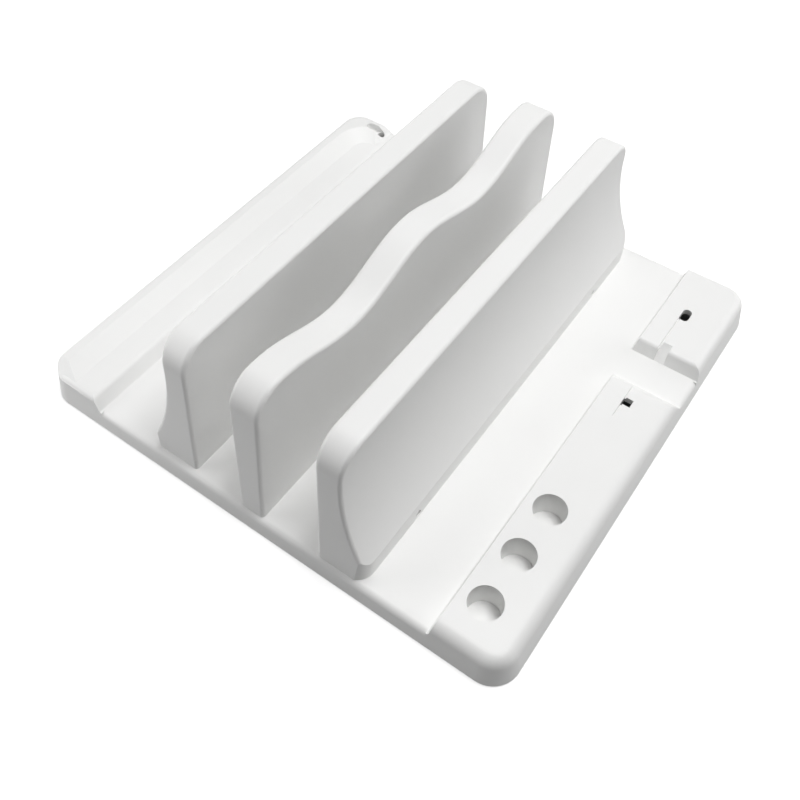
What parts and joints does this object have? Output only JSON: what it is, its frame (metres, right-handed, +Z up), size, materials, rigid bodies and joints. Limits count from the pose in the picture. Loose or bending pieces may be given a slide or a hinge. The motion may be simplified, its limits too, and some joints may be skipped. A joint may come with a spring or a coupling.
{
  "type": "vertical laptop stand",
  "caption": "White moulded desk stand that holds laptops on edge between upright walls, with side trays, pen sockets and slits for charging cables.",
  "frame": {"origin": "on the desk, under the middle of the footprint", "axes": "+Z up, X across the slots with the pen sockets on the +X side, Y along the slots with the pen sockets nearer the -Y end"},
  "size_m": [0.198, 0.19, 0.067],
  "materials": {
    "white_abs": "satin white ABS with a fine moulded grain",
    "foot_rubber": "matt dark grey rubber"
  },
  "bodies": {
    "root": {"body": "white_abs", "foot_front_left": "foot_rubber", "foot_front_right": "foot_rubber", "foot_back_left": "foot_rubber", "foot_back_right": "foot_rubber"}
  },
  "joints": []
}
